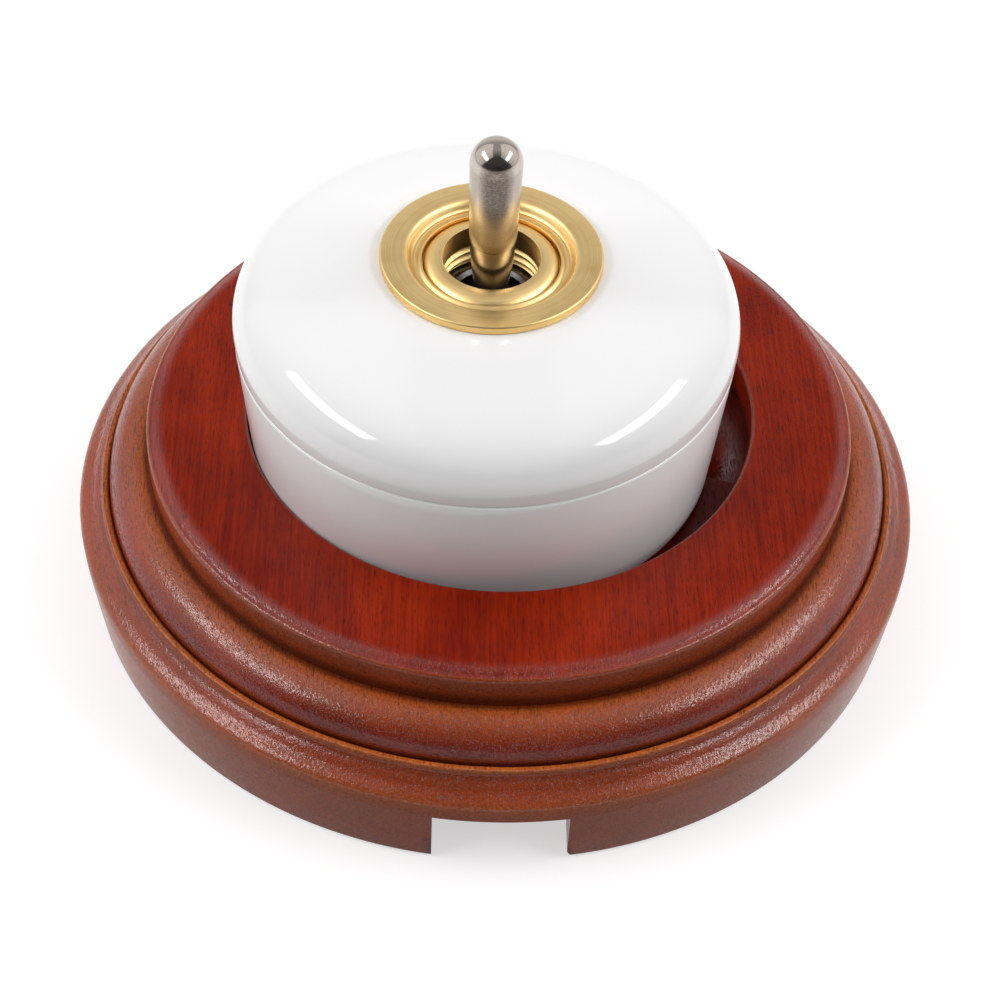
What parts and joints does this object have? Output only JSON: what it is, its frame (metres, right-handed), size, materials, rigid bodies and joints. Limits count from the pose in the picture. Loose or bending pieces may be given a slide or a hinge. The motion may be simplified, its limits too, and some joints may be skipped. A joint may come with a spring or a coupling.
{
  "type": "toggle light switch",
  "caption": "Surface toggle light switch: a domed glazed porcelain switch with brass rosette and metal lever on a round turned wood base.",
  "frame": {"origin": "middle of the wood base's flat back", "axes": "+Z out of the wall, -Y towards the cable notch"},
  "size_m": [0.1, 0.1, 0.0659],
  "materials": {
    "stained_wood": "gloss lacquer",
    "porcelain": "glazed",
    "brass": "satin turned",
    "nickel": "satin nickel plate",
    "zinc_steel": "zinc plated",
    "steel": "drawn",
    "copper": "rolled copper",
    "silver": "silver contact",
    "phenolic": "moulded phenolic",
    "fibre": "vulcanised fibre"
  },
  "bodies": {
    "base": {"wood_base": "stained_wood", "porcelain_base": "porcelain", "porcelain_cover": "porcelain", "rosette": "brass", "ring_nut": "brass", "bushing": "nickel", "bridge_bracket": "zinc_steel", "mechanism_housing": "phenolic", "lever_pin": "steel", "fixed_contact": "silver", "load_terminal": "brass", "line_terminal": "brass", "terminal_screws": "zinc_steel", "bracket_screws": "zinc_steel", "bracket_washers": "zinc_steel", "bracket_nuts": "zinc_steel", "base_screws": "zinc_steel", "base_washers": "fibre"},
    "lever": {"toggle_lever": "nickel", "plunger": "phenolic", "plunger_spring": "steel"},
    "rocker": {"rocker_contact": "copper", "moving_contact": "silver"}
  },
  "joints": [
    {"name": "lever_swing", "type": "hinge", "parent": "base", "child": "lever", "pos_m": [-0.00168, -0.0005, 0.0358], "axis": [-1, 0, 0], "range_deg": [0, 18]},
    {"name": "rocker_tip", "type": "hinge", "parent": "base", "child": "rocker", "pos_m": [-0.00168, -0.0005, 0.0281], "axis": [1, 0, 0], "range_deg": [0, 20]}
  ],
  "couplings": [
    {"joint": "rocker_tip", "follows": "lever_swing", "ratio": 1.111}
  ]
}
